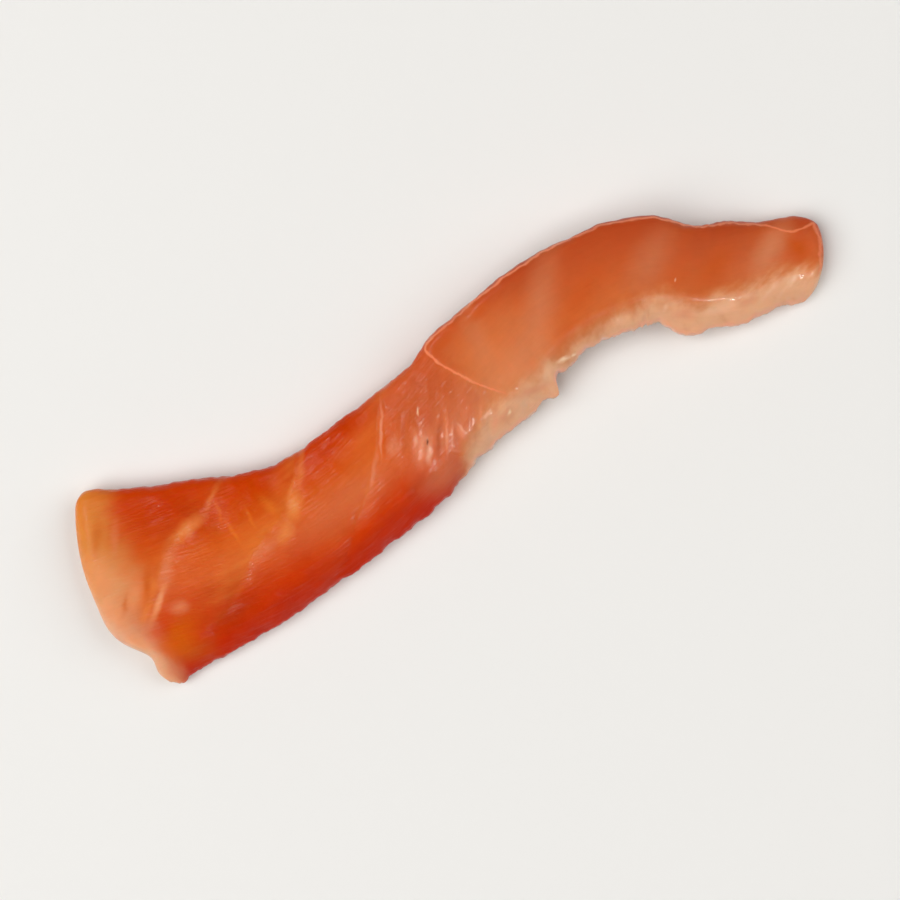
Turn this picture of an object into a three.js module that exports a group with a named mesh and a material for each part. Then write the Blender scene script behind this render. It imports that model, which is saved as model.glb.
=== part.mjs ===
// A strip of cold-smoked salmon, lying loose with its cut face up.
// Millimetres, +Z up, seen from above with +Y away from the viewer.
// The origin is on the table, under the middle of the strip's outer box.
//
// The strip is one solid: a finely divided box whose edges are rounded and which is then
// laid along a curved spine. "along" is the distance down the spine from the wide left
// end, "across" is the distance from the spine towards the upper edge, and "up" runs
// from 0 at the underside to 1 at the cut face.
import * as THREE from "three";
import { mergeVertices } from "three/addons/utils/BufferGeometryUtils.js";

// Stations along the strip, evenly spaced. x and y are the spine's, width and thick are
// the strip's there, rise is how far the underside would stand off the table (it rests
// where this is below 0), and roll is how far the upper edge lifts for each mm across.
const stations = [
  { x: -34.6, y: -14.7, width: 20.6, thick: 2.5, rise: 0.7, roll: 0.03 },
  { x: -25.8, y: -12.0, width: 19.0, thick: 3.9, rise: -0.3, roll: 0.0 },
  { x: -17.2, y: -8.6, width: 15.1, thick: 4.5, rise: -0.6, roll: -0.02 },
  { x: -9.4, y: -3.6, width: 13.6, thick: 4.7, rise: -0.5, roll: -0.03 },
  { x: -2.4, y: 2.4, width: 12.7, thick: 4.7, rise: 0.1, roll: 0.0 },
  { x: 4.2, y: 8.9, width: 12.8, thick: 4.4, rise: 1.3, roll: 0.05 },
  { x: 11.1, y: 15.0, width: 11.6, thick: 4.2, rise: 2.3, roll: 0.08 },
  { x: 19.5, y: 18.7, width: 11.1, thick: 4.2, rise: 2.2, roll: 0.05 },
  { x: 28.7, y: 18.6, width: 10.4, thick: 3.8, rise: 0.9, roll: 0.0 },
  { x: 37.7, y: 20.7, width: 8.7, thick: 3.0, rise: -0.4, roll: -0.03 },
];

const edgeRound = 1.15; // radius of the cut edges

// Each end stands out by bulge at its peak (a share of the half width) and falls back
// by round for each half width from there, which fades over reach.
const wideEnd = { bulge: 2.7, peak: 0.3, round: 3.0, reach: 9 };
const narrowEnd = { bulge: 2.4, peak: 0.4, round: 1.25, reach: 7 };

// The wide end is folded in near its lower corner and full beside that, fading over fade.
const wideEndFolds = [
  { across: -7.4, depth: 1.1, half: 1.5 },
  { across: -3.6, depth: -0.5, half: 2.6 },
];
const foldFade = 3;

// The pale fat under the skin side runs along the lower edge and slopes to the table.
const slopeWidth = 3.3;
const slopePast = 0.6; // how far past the edge the slope ends
const slopeDrop = 0.42; // share of the thickness that it loses at the very edge
const slopeCalm = 0.6; // share of the flesh's relief that it loses there
const fatLump = 0.16;
const fatLumpWave = 3.1;
const fatLumpLean = 1.7;
const fatLumpStart = 0.2; // phase

// The cut face stands higher along its middle, most at the wide end.
const crownLeft = 0.75;
const crownRight = 0.15;
const swell = 0.2;
const swellWave = 17;
const swellLean = 0.5;
const swellStart = 2.2; // phase

// Nubs and nicks along the two edges: where, how far out, and half their length.
const fatNubs = [
  { at: 2.5, reach: 0.8, half: 2.5 },
  { at: 33.6, reach: 0.35, half: 3.0 },
  { at: 38.6, reach: -0.35, half: 1.8 },
  { at: 47.6, reach: 0.55, half: 2.0 },
  { at: 49.0, reach: 0.8, half: 0.65 },
  { at: 49.7, reach: 0.9, half: 0.6 },
  { at: 51.3, reach: -0.6, half: 1.1 },
  { at: 57.0, reach: -0.4, half: 3.6 },
  { at: 67.0, reach: -0.5, half: 1.8 },
  { at: 71.0, reach: 1.0, half: 1.4 },
  { at: 79.4, reach: -0.4, half: 1.6 },
];
const upperNicks = [
  { at: 0.0, reach: 1.1, half: 3.6 },
  { at: 22.0, reach: -0.2, half: 3.0 },
  { at: 41.0, reach: -0.45, half: 1.9 },
  { at: 62.0, reach: -0.1, half: 2.6 },
  { at: 70.0, reach: 0.5, half: 13.0 },
  { at: 70.5, reach: -0.45, half: 2.0 },
  { at: 76.0, reach: 0.15, half: 2.0 },
  { at: 84.0, reach: -0.6, half: 1.4 },
];

// The long unevenness of each edge.
const fatWaves = [
  { reach: 0.14, wave: 7.3, phase: 0.4 },
  { reach: 0.12, wave: 2.9, phase: 2.1 },
];
const upperWaves = [
  { reach: 0.1, wave: 15, phase: 1.2 },
  { reach: 0.08, wave: 4.4, phase: 0.3 },
];

// Muscle blocks are parted by thin white membranes, which show as shallow grooves with
// the flesh pillowed between them. Each is given by how far along it lies where it is 8
// and 4 mm below the spine, on it, and 4 and 8 mm above it.
const membraneSpan = 16;
const leanStep = 0.5; // mm across over which a membrane's lean is read
const membranes = [
  [1.0, 2.6, 5.0, 7.9, 14.8],
  [8.0, 11.4, 15.6, 22.2, 25.0],
  [20.0, 24.4, 29.6, 34.4, 38.0],
  [40.0, 42.8, 46.2, 48.0, 49.8],
  [45.0, 48.8, 53.2, 57.2, 60.8],
  [57.0, 60.8, 64.8, 68.4, 71.6],
  [69.0, 73.0, 76.2, 78.8, 81.2],
];
const sink = 0.5; // lean through the thickness, mm along for each mm down
const wander = 0.3;
const wanderWave = 5.5;
const wanderTurn = 2.3; // phase between one membrane and the next
const grooveDepth = 0.2;
const grooveHalf = 1.0;
const pillow = 0.16;
const pillowHalf = 3.2;
const edgeShare = 0.5; // how much of this relief shows in the outline

// Where the strip bends up, its face is drawn into short upright creases.
const creases = { middle: 40.5, half: 8, across: -1.5, acrossHalf: 4.2 };
const creasePitch = 2.1;
const creaseDepth = 0.09;
const creaseWave = 5;
const creaseStart = 0.9; // phase

// Past the bend the face was pressed flat by the lid of the box it was packed in. The
// flat field stands a little proud of the bend.
const pressedFrom = 43.0; // where it begins at the upper edge
const pressedBow = 0.03; // how much later it begins, per square mm from that edge
const pressedInset = 0.3; // how far inside the upper edge and the narrow end it stays
const pressedFade = 1.2;
const pressedKeep = 0.35; // share of the relief that is left in it
const pressedStep = 0.1;
const stepHalf = 0.25; // half the width of that step
const pressedNick = { at: 81.3, depth: 1.5, half: 1.5 };

const segments = { along: 116, across: 18, through: 4 };
const edgeCrowding = 0.25; // how much closer the divisions lie at the two long edges

const spine = new THREE.CatmullRomCurve3(
  stations.map((s) => new THREE.Vector3(s.x, s.y, 0)),
  false,
  "catmullrom",
);
const stripLength = spine.getLength();

// A smooth curve through evenly spaced values, read at a share from 0 to 1.
function throughValues(values) {
  const curve = new THREE.SplineCurve(
    values.map((value, i) => new THREE.Vector2(i, value)),
  );
  return (share) => curve.getPoint(THREE.MathUtils.clamp(share, 0, 1)).y;
}
const widthAt = throughValues(stations.map((s) => s.width));
const thicknessAt = throughValues(stations.map((s) => s.thick));
const riseAt = throughValues(stations.map((s) => s.rise));
const rollAt = throughValues(stations.map((s) => s.roll));
const membraneLines = membranes.map(throughValues);

// Three sine waves that never line up, so the unevenness doesn't repeat.
function ripple(place, wave, phase) {
  const turn = (2 * Math.PI * place) / wave;
  return (
    0.5 * Math.sin(turn + phase) +
    0.3 * Math.sin(2.31 * turn + 1.7 * phase + 1) +
    0.2 * Math.sin(4.13 * turn + 2.9 * phase + 2)
  );
}

function bump(distance, half) {
  return Math.exp(-((distance / half) ** 2));
}

// How far an edge stands out of line at a place along the strip.
function edgeLine(nubs, waves, along) {
  const nubSum = nubs.reduce((sum, b) => sum + b.reach * bump(along - b.at, b.half), 0);
  return waves.reduce((sum, w) => sum + w.reach * ripple(along, w.wave, w.phase), nubSum);
}

// How far an end stands out at its middle, less towards its corners.
function endPush(end, side, distance) {
  const fade = Math.max(0, 1 - distance / end.reach) ** 2;
  return fade * (end.bulge - end.round * (side - end.peak) ** 2);
}

function foldDepth(along, across) {
  const fade = bump(along, foldFade);
  return wideEndFolds.reduce(
    (sum, f) => sum + fade * f.depth * bump(across - f.across, f.half),
    0,
  );
}

// How far inside the flat field a place is, below 0 outside it.
function pressedDepth(along, across, width) {
  const fromUpperEdge = width / 2 + edgeLine(upperNicks, upperWaves, along) - across;
  const pastStart = along - pressedFrom - pressedBow * fromUpperEdge ** 2;
  const nick = pressedNick.depth * bump(along - pressedNick.at, pressedNick.half);
  const fromTip = stripLength - along - pressedInset;
  return Math.min(pastStart, fromUpperEdge - pressedInset - nick, fromTip);
}

// The distance from a place to the nearest membrane.
function membraneDistance(along, across, down) {
  const spot = across / membraneSpan + 0.5;
  const above = spot + leanStep / membraneSpan;
  const distances = membraneLines.map((line, i) => {
    const wandered = wander * ripple(across, wanderWave, wanderTurn * i);
    const place = along - line(spot) - sink * down + wandered;
    const lean = (line(above) - line(spot)) / leanStep;
    return Math.abs(place) / Math.hypot(1, lean);
  });
  return Math.min(...distances);
}

// Grooves at the membranes, and the flesh between them standing a little proud.
function fleshRelief(along, across, down) {
  const distance = membraneDistance(along, across, down);
  const block = pillow * (1 - bump(distance, pillowHalf));
  return block - grooveDepth * bump(distance, grooveHalf);
}

function creaseRelief(along, across, x) {
  const window =
    bump(along - creases.middle, creases.half) *
    bump(across - creases.across, creases.acrossHalf);
  const phase = (2 * Math.PI * x) / creasePitch;
  const bow = ripple(across, creaseWave, creaseStart);
  return window * creaseDepth * Math.cos(phase + bow);
}

// The height of the cut face above the underside.
function faceHeight(along, across, side, width, thick, x) {
  const { lerp, smoothstep } = THREE.MathUtils;
  const share = along / stripLength;
  const edge = width / 2;
  const slope = smoothstep(-across, edge - slopeWidth, edge + slopePast);
  const pressed = pressedDepth(along, across, width);
  const keep = lerp(1, pressedKeep, smoothstep(pressed, 0, pressedFade));
  const crown = lerp(crownLeft, crownRight, share) * (1 - side ** 2);
  const soft = crown + swell * ripple(along + swellLean * across, swellWave, swellStart);
  const fine = fleshRelief(along, across, 0) * (1 - slopeCalm * slope);
  const lumps = fatLump * slope * ripple(along + fatLumpLean * across, fatLumpWave, fatLumpStart);
  const creased = creaseRelief(along, across, x);
  const step = pressedStep * smoothstep(pressed, -stepHalf, stepHalf);
  return thick * (1 - slopeDrop * slope) + keep * (soft + fine) + lumps + creased + step;
}

// Rounds the straight box's edges: what sticks out of a smaller core is cut to one radius.
function rounded(point, half) {
  const core = half.clone().subScalar(edgeRound);
  const kept = point.clone().clamp(core.clone().negate(), core);
  const out = point.clone().sub(kept);
  return out.lengthSq() > 0 ? kept.add(out.setLength(edgeRound)) : kept;
}

// Moves one corner of the divided box (x 0 to 1, y and z -1 to 1) to its place.
function placed(x, y, z) {
  const width = widthAt(x);
  const thick = thicknessAt(x);
  const half = new THREE.Vector3(stripLength, width, thick).multiplyScalar(0.5);
  const closerAtEdges = y * (1 + edgeCrowding - edgeCrowding * y ** 2);
  const corner = new THREE.Vector3(2 * x - 1, closerAtEdges, z).multiply(half);
  const straight = rounded(corner, half);
  const along = straight.x + half.x;
  const share = along / stripLength;
  const side = straight.y / half.y;
  const up = straight.z / thick + 0.5;
  const down = (1 - up) * thick;

  // The outline: uneven edges, and ends that stand out at their middle.
  const nubs = side < 0 ? fatNubs : upperNicks;
  const waves = side < 0 ? fatWaves : upperWaves;
  const uneven = edgeLine(nubs, waves, along);
  const blocks = edgeShare * fleshRelief(along, straight.y, down);
  const stand = uneven * side ** 4 + blocks * side ** 6;
  const across = straight.y + Math.sign(side) * stand;
  const push =
    endPush(narrowEnd, side, stripLength - along) -
    endPush(wideEnd, side, along) +
    foldDepth(along, across);

  const heading = spine.getTangentAt(share);
  const outwards = new THREE.Vector3(-heading.y, heading.x, 0);
  const spot = spine
    .getPointAt(share)
    .addScaledVector(outwards, across)
    .addScaledVector(heading, push);

  // The height: the underside rests on the table or stands off it.
  const underside = riseAt(share) + rollAt(share) * across;
  const face = underside + faceHeight(along, across, side, width, thick, spot.x);
  const foot = Math.max(0, underside);
  return spot.setZ(THREE.MathUtils.lerp(foot, face, up));
}

function stripGeometry() {
  const { along, across, through } = segments;
  const box = new THREE.BoxGeometry(1, 2, 2, along, across, through);
  box.deleteAttribute("normal");
  box.deleteAttribute("uv");
  const strip = mergeVertices(box);
  const corners = strip.getAttribute("position");
  for (let i = 0; i < corners.count; i += 1) {
    const p = placed(corners.getX(i) + 0.5, corners.getY(i), corners.getZ(i));
    corners.setXYZ(i, p.x, p.y, p.z);
  }
  // The origin goes on the table, under the middle of the outer box.
  strip.computeBoundingBox();
  const { min, max } = strip.boundingBox;
  strip.translate(-(min.x + max.x) / 2, -(min.y + max.y) / 2, -min.z);
  strip.computeVertexNormals();
  return strip;
}

const salmonFlesh = new THREE.MeshStandardMaterial({
  name: "salmon_flesh",
  color: 0xd4703c,
  roughness: 0.35,
  metalness: 0,
});

const salmonStrip = new THREE.Mesh(stripGeometry(), salmonFlesh);
salmonStrip.name = "salmon_strip";

const part = new THREE.Group();
part.add(salmonStrip);

export default part;
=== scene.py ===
import math

import bmesh
import bpy
import numpy as np
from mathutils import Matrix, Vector, noise


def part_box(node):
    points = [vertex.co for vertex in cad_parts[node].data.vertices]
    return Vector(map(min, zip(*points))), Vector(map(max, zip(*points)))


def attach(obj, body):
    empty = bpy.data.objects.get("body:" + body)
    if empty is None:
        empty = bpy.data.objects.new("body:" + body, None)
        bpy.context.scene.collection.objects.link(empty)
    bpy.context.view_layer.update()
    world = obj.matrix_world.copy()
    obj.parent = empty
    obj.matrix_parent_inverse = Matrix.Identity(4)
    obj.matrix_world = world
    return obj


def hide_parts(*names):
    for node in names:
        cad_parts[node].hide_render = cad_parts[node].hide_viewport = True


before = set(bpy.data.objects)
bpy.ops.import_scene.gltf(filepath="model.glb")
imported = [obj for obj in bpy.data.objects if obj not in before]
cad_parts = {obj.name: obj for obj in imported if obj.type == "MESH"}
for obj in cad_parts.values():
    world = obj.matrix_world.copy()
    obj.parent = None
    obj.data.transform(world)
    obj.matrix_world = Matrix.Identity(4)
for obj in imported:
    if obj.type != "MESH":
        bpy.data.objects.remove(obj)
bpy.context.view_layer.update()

mm = 0.001


def smoothStep(value, start, end):
    share = np.clip((value - start) / (end - start), 0, 1)
    return share * share * (3 - 2 * share)


def bump(distance, half):
    return np.exp(-((distance / half) ** 2))


def mixed(a, b, share):
    return a + (b - a) * share


# three sine waves that never line up, so the unevenness doesn't repeat
def ripple(place, wave, phase):
    turn = 2 * math.pi * place / wave
    slow = 0.5 * np.sin(turn + phase)
    middle = 0.3 * np.sin(2.31 * turn + 1.7 * phase + 1)
    quick = 0.2 * np.sin(4.13 * turn + 2.9 * phase + 2)
    return slow + middle + quick


# smooth random heights, about -1 to 1, with bumps as wide as the grain in millimetres
def grainAt(points, grain, seed, octaves=2):
    shift = Vector((seed * 17.3, seed * 5.1, seed * 9.7))
    return np.array([noise.fractal(Vector(p) / grain + shift, 0.8, 2.1, octaves) for p in points])


def deselectAll():
    if bpy.context.object and bpy.context.object.mode != "OBJECT":
        bpy.ops.object.mode_set(mode="OBJECT")
    bpy.ops.object.select_all(action="DESELECT")


def readPoints(piece):
    points = np.empty(len(piece.data.vertices) * 3)
    piece.data.vertices.foreach_get("co", points)
    return points.reshape(-1, 3)


def writePoints(piece, points):
    piece.data.vertices.foreach_set("co", points.ravel())
    piece.data.update()


# picks edges of the mesh being edited, by the places of their two ends
def pickEdges(test):
    bpy.ops.mesh.select_all(action="DESELECT")
    cage = bmesh.from_edit_mesh(bpy.context.object.data)
    for edge in cage.edges:
        edge.select_set(test(edge.verts[0].co, edge.verts[1].co))
    bmesh.update_edit_mesh(bpy.context.object.data)


def pickPoints(test):
    bpy.ops.mesh.select_all(action="DESELECT")
    cage = bmesh.from_edit_mesh(bpy.context.object.data)
    for point in cage.verts:
        point.select_set(test(point.co))
    cage.select_flush(True)
    bmesh.update_edit_mesh(bpy.context.object.data)


# The strip itself. x and y are its middle line, rise is how far the underside would
# stand off the table there, and roll how far the upper edge lifts for each mm across.
strip = {
    "stations": [
        {"x": -34.6, "y": -14.7, "width": 20.6, "thick": 2.5, "rise": 0.7, "roll": 0.03},
        {"x": -25.8, "y": -12.0, "width": 19.0, "thick": 3.9, "rise": -0.3, "roll": 0.0},
        {"x": -17.2, "y": -8.6, "width": 15.1, "thick": 4.5, "rise": -0.6, "roll": -0.02},
        {"x": -9.4, "y": -3.6, "width": 13.6, "thick": 4.7, "rise": -0.5, "roll": -0.03},
        {"x": -2.4, "y": 2.4, "width": 12.7, "thick": 4.7, "rise": 0.1, "roll": 0.0},
        {"x": 4.2, "y": 8.9, "width": 12.8, "thick": 4.4, "rise": 1.3, "roll": 0.05},
        {"x": 11.1, "y": 15.0, "width": 11.6, "thick": 4.2, "rise": 2.3, "roll": 0.08},
        {"x": 19.5, "y": 18.7, "width": 11.1, "thick": 4.2, "rise": 2.2, "roll": 0.05},
        {"x": 28.7, "y": 18.6, "width": 10.4, "thick": 3.8, "rise": 0.9, "roll": 0.0},
        {"x": 37.7, "y": 20.7, "width": 8.7, "thick": 3.0, "rise": -0.4, "roll": -0.03},
    ],
    "rings": 44,  # faces down the length of the first slab
    "rows": 7,  # faces across it
    "edgeRound": 1.15,
    "edgeSteps": 3,
    "smoothing": 3,
    "sharpFrom": 60,  # degrees, past which an edge of the slab is rounded
    "spineSteps": 48,
}

# How the ends stand out at their middle, where the wide end is folded in or full, and the
# nubs, nicks and long waves of both edges.
outline = {
    "wideEnd": {"bulge": 2.7, "peak": 0.3, "round": 3.0, "reach": 9},
    "narrowEnd": {"bulge": 2.4, "peak": 0.4, "round": 1.25, "reach": 7},
    "wideEndFolds": [
        {"across": -7.4, "depth": 1.1, "half": 1.5},
        {"across": -3.6, "depth": -0.5, "half": 2.6},
    ],
    "foldFade": 3,
    "fatNubs": [
        {"at": 2.5, "reach": 0.8, "half": 2.5},
        {"at": 33.6, "reach": 0.35, "half": 3.0},
        {"at": 38.6, "reach": -0.35, "half": 1.8},
        {"at": 47.2, "reach": 0.45, "half": 2.0},
        {"at": 49.3, "reach": 0.75, "half": 0.65},
        {"at": 50.1, "reach": 0.95, "half": 0.55},
        {"at": 51.3, "reach": -0.6, "half": 1.1},
        {"at": 57.0, "reach": -0.4, "half": 3.6},
        {"at": 67.0, "reach": -0.5, "half": 1.8},
        {"at": 71.0, "reach": 1.0, "half": 1.4},
        {"at": 79.4, "reach": -0.4, "half": 1.6},
    ],
    "upperNicks": [
        {"at": 0.0, "reach": 1.1, "half": 3.6},
        {"at": 22.0, "reach": -0.2, "half": 3.0},
        {"at": 41.0, "reach": -0.45, "half": 1.9},
        {"at": 62.0, "reach": -0.1, "half": 2.6},
        {"at": 70.0, "reach": 0.5, "half": 13.0},
        {"at": 70.5, "reach": -0.45, "half": 2.0},
        {"at": 76.0, "reach": 0.15, "half": 2.0},
        {"at": 84.0, "reach": -0.6, "half": 1.4},
    ],
    "fatWaves": [
        {"reach": 0.14, "wave": 7.3, "phase": 0.4},
        {"reach": 0.12, "wave": 2.9, "phase": 2.1},
    ],
    "upperWaves": [
        {"reach": 0.1, "wave": 15, "phase": 1.2},
        {"reach": 0.08, "wave": 4.4, "phase": 0.3},
    ],
    "tear": 0.15,  # fine raggedness of the fat edge
    "tearGrain": 1.1,
    "tearFrom": (32, 40),
    "tearLeft": 0.35,  # how much of it there is on the left
    "cutWaver": 0.07,  # and of the knife-cut side
    "cutGrain": 1.6,
    "grainSink": 0.6,  # how fast the raggedness changes down a side, against along it
    "fleshShare": 0.5,  # how much of the cut face's relief shows in the outline
    "nubPower": 4,  # a higher power keeps a change nearer the edge
    "raggedPower": 6,
}

# The cut face: a low crown, grooves at the membranes, the sloping fat, the creases at the
# bend and the flat field past it. Each membrane is given by how far along it lies where it
# is 8 and 4 mm below the middle line, on it, and 4 and 8 mm above it, and pale likewise.
face = {
    "crownLeft": 0.75,
    "crownRight": 0.15,
    "swell": 0.2,
    "swellWave": {"lean": 0.5, "wave": 17, "phase": 2.2},
    "membraneReach": 8,  # how far across the first and last of a membrane's values lie
    "membranes": [
        {
            "at": [1.0, 2.6, 5.0, 7.9, 14.8],
            "half": 0.5,
            "pale": [0.7, 0.6, 0.6, 0.4, 0.1],
            "fan": 0.2,
        },
        {
            "at": [8.0, 11.4, 15.6, 22.2, 25.0],
            "half": 0.45,
            "pale": [0.1, 0.2, 0.4, 0.6, 0.3],
            "fan": 0.6,
        },
        {
            "at": [20.0, 24.4, 29.6, 34.4, 38.0],
            "half": 0.5,
            "pale": [0.0, 0.05, 0.15, 0.15, 0.1],
            "fan": 0.25,
        },
        {"at": [40.0, 42.8, 46.2, 48.0, 49.8], "half": 1.0, "pale": [0.1] * 5, "fan": 0.0},
        {"at": [45.0, 48.8, 53.2, 57.2, 60.8], "half": 1.0, "pale": [0.1] * 5, "fan": 0.0},
        {"at": [57.0, 60.8, 64.8, 68.4, 71.6], "half": 1.0, "pale": [0.1] * 5, "fan": 0.0},
        {"at": [69.0, 73.0, 76.2, 78.8, 81.2], "half": 1.0, "pale": [0.1] * 5, "fan": 0.0},
    ],
    "sink": 0.5,  # how far a membrane leans back for each mm of depth
    "wander": 0.3,
    "wanderWave": 5.5,
    "wanderShift": 2.3,
    "fanFrom": (-4.6, -0.3),  # the fibres grow towards the membrane and end past it
    "fanTo": (-0.2, 0.9),
    "fanPower": 1.5,
    "fanWaver": 0.5,
    "fanGrain": 2.4,
    "grooveDepth": 0.2,
    "grooveHalf": 1.0,
    "pillow": 0.16,
    "pillowHalf": 3.2,
    "seamDepth": 0.04,  # a finer line at the bottom of each groove
    "seamHalf": 0.3,
    "slopeWidth": 3.3,
    "slopeOver": 0.6,
    "slopeDrop": 0.42,
    "slopeSmooths": 0.6,  # how much of the flesh's relief is gone on the fat
    "fatLump": 0.2,
    "fatLumpGrain": 2.2,
    "fatBead": 0.1,
    "fatBeadGrain": 0.9,
    # mm along, and how wide the fat is there
    "fatWidths": [
        (33, -3.0), (36.5, -0.5), (38.5, 1.4), (40.5, 2.7), (43, 3.4),
        (46, 3.6), (50, 3.1), (53, 1.3), (56, 1.4), (62, 2.1),
        (66, 2.6), (71, 3.4), (76, 3.7), (80, 3.2), (85, 3.0),
    ],
    "pressedFrom": 43.0,
    "pressedBow": 0.03,
    "pressedInset": 0.3,
    "pressedKeep": 0.35,  # how much relief is left in the field, and how it fades there
    "pressedFade": (0, 1.2),
    "pressedStep": 0.1,  # the flat field stands a little proud of the bend
    "pressedRim": (-0.35, 0.15),
    "pressedWaver": [
        {"reach": 0.1, "lean": 1, "wave": 3.1, "phase": 0.5},
        {"reach": 0.04, "lean": -1, "wave": 1.3, "phase": 1.9},
    ],
    "pressedNick": {"at": 81.3, "depth": 1.5, "half": 1.5},
    "moundHeight": 0.06,
    "moundGrain": 3.4,
}
creases = {
    "middle": 40.5,
    "half": 8,
    "across": -1.5,
    "acrossHalf": 4.2,
    "pitch": 2.1,
    "depth": 0.07,
    "wander": {"wave": 5, "phase": 0.9},
    "fineDepth": 0.02,
    "finePitch": 0.9,
    "fineWander": {"reach": 2.2, "wave": 3.7, "phase": 0.3},
    "finePatches": {"reach": 0.4, "wave": 4.1, "phase": 1.1},
    "fieldFade": (-0.4, 0.8),  # the flat field presses the creases out
    "fieldPress": 0.85,
    # thin upright ridges: x, from y down to y, and height
    "ridges": [
        (-6.8, 5.4, -0.4, 0.16),
        (-7.5, 0.0, -3.2, 0.08),
        (-4.6, -1.0, -3.2, 0.08),
        (-2.9, 4.8, 4.0, 0.12),
        (-3.2, 2.6, 0.2, 0.12),
        (-2.5, 2.2, -0.6, 0.14),
        (-1.4, 1.6, -1.0, 0.12),
        (0.1, 4.4, 0.2, 0.16),
        (0.65, 3.2, 0.6, 0.14),
        (1.6, 3.2, 1.4, 0.1),
        (3.7, 5.2, 3.0, 0.08),
    ],
    "ridgeHalf": 0.2,
    "ridgeBow": [
        {"reach": 0.16, "wave": 5.2, "phase": 0.6},
        {"reach": 0.05, "wave": 1.7, "phase": 2.2},
    ],
    "ridgeTip": 0.6,  # how far a ridge takes to rise and to die away
    "pit": {"x": -1.85, "y": 1.0, "depth": 0.22, "half": 0.3, "halfY": 0.75},
}


# a smooth curve through evenly spaced values, share running from 0 to 1
def throughValues(values, share):
    values = np.array(values)
    last = len(values) - 1
    spot = np.clip(share, 0, 1) * last
    i = np.minimum(spot.astype(int), last - 1)
    t = spot - i
    before = values[np.maximum(i - 1, 0)]
    here = values[i]
    there = values[i + 1]
    after = values[np.minimum(i + 2, last)]
    leave = (there - before) / 2
    arrive = (after - here) / 2
    square = (3 * (there - here) - 2 * leave - arrive) * t**2
    cube = (2 * (here - there) + leave + arrive) * t**3
    return here + leave * t + square + cube


def stationValue(key, share):
    return throughValues([station[key] for station in strip["stations"]], share)


# the middle line as a Bezier curve through the stations
def addSpine():
    places = [Vector((s["x"], s["y"], 0)) * mm for s in strip["stations"]]
    deselectAll()
    bpy.ops.curve.primitive_bezier_curve_add(location=(0, 0, 0))
    spine = bpy.context.object
    spine.name = "stripSpine"
    spine.data.resolution_u = strip["spineSteps"]
    spine.data.twist_mode = "Z_UP"
    line = spine.data.splines[0]
    line.bezier_points.add(len(places) - len(line.bezier_points))
    for i, point in enumerate(line.bezier_points):
        before = places[i - 1] if i else 2 * places[0] - places[1]
        after = places[i + 1] if i + 1 < len(places) else 2 * places[-1] - places[-2]
        reach = (after - before) / 6
        point.handle_left_type = "FREE"
        point.handle_right_type = "FREE"
        point.co = places[i]
        point.handle_left = places[i] - reach
        point.handle_right = places[i] + reach
    return spine


# a straight slab as long as the middle line, each ring as wide and thick as the strip there
def addSlab(length):
    deselectAll()
    bpy.ops.mesh.primitive_cube_add(size=1, location=(0.5, 0, 0.5))
    slab = bpy.context.object
    slab.name = "smokedSalmonStrip"
    bpy.ops.object.transform_apply(location=True, rotation=False, scale=False)
    bpy.ops.object.mode_set(mode="EDIT")
    bpy.ops.mesh.select_mode(type="EDGE")
    pickEdges(lambda a, b: abs(a.x - b.x) > 0.5)
    bpy.ops.mesh.subdivide(number_cuts=strip["rings"] - 1)
    pickEdges(lambda a, b: abs(a.y - b.y) > 0.5)
    bpy.ops.mesh.subdivide(number_cuts=strip["rows"] - 1)
    bpy.ops.mesh.select_mode(type="VERT")
    for ring in range(strip["rings"] + 1):
        share = ring / strip["rings"]
        pickPoints(lambda co: abs(co.x - share) < 0.3 / strip["rings"])
        width = float(stationValue("width", np.array(share))) * mm
        thick = float(stationValue("thick", np.array(share))) * mm
        bpy.ops.transform.resize(value=(1, width, thick), center_override=(share, 0, 0))
    bpy.ops.mesh.select_all(action="SELECT")
    bpy.ops.transform.resize(value=(length * mm, 1, 1), center_override=(0, 0, 0))
    bpy.ops.mesh.select_mode(type="EDGE")
    bpy.ops.mesh.select_all(action="DESELECT")
    bpy.ops.mesh.edges_select_sharp(sharpness=math.radians(strip["sharpFrom"]))
    bpy.ops.mesh.bevel(
        offset=strip["edgeRound"] * mm, segments=strip["edgeSteps"], affect="EDGES"
    )
    bpy.ops.object.mode_set(mode="OBJECT")
    fine = slab.modifiers.new("fineSurface", "SUBSURF")
    fine.levels = strip["smoothing"]
    fine.render_levels = strip["smoothing"]
    bpy.ops.object.modifier_apply(modifier=fine.name)
    return slab


def waveSum(waves, place):
    return sum(w["reach"] * ripple(place, w["wave"], w["phase"]) for w in waves)


# how far an edge stands out of line
def edgeLine(nubs, waves, along):
    nubSum = sum(nub["reach"] * bump(along - nub["at"], nub["half"]) for nub in nubs)
    return nubSum + waveSum(waves, along)


def fatEdge(along):
    return edgeLine(outline["fatNubs"], outline["fatWaves"], along)


def upperEdge(along):
    return edgeLine(outline["upperNicks"], outline["upperWaves"], along)


def foldDepth(along, across):
    folds = outline["wideEndFolds"]
    depth = sum(fold["depth"] * bump(across - fold["across"], fold["half"]) for fold in folds)
    return depth * bump(along, outline["foldFade"])


def endPush(end, side, distance):
    fade = np.maximum(0, 1 - distance / end["reach"]) ** 2
    return fade * (end["bulge"] - end["round"] * (side - end["peak"]) ** 2)


# how far inside the flat field a place is, below 0 outside it
def pressedDepth(along, across, width, length):
    fromUpperEdge = width / 2 + upperEdge(along) - across
    pastStart = along - face["pressedFrom"] - face["pressedBow"] * fromUpperEdge**2
    nick = face["pressedNick"]
    inset = face["pressedInset"] + nick["depth"] * bump(along - nick["at"], nick["half"])
    fromSides = np.minimum(fromUpperEdge - inset, length - along - face["pressedInset"])
    depth = np.minimum(pastStart, fromSides)
    uneven = sum(waveSum([w], along + w["lean"] * across) for w in face["pressedWaver"])
    return depth + uneven


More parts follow.
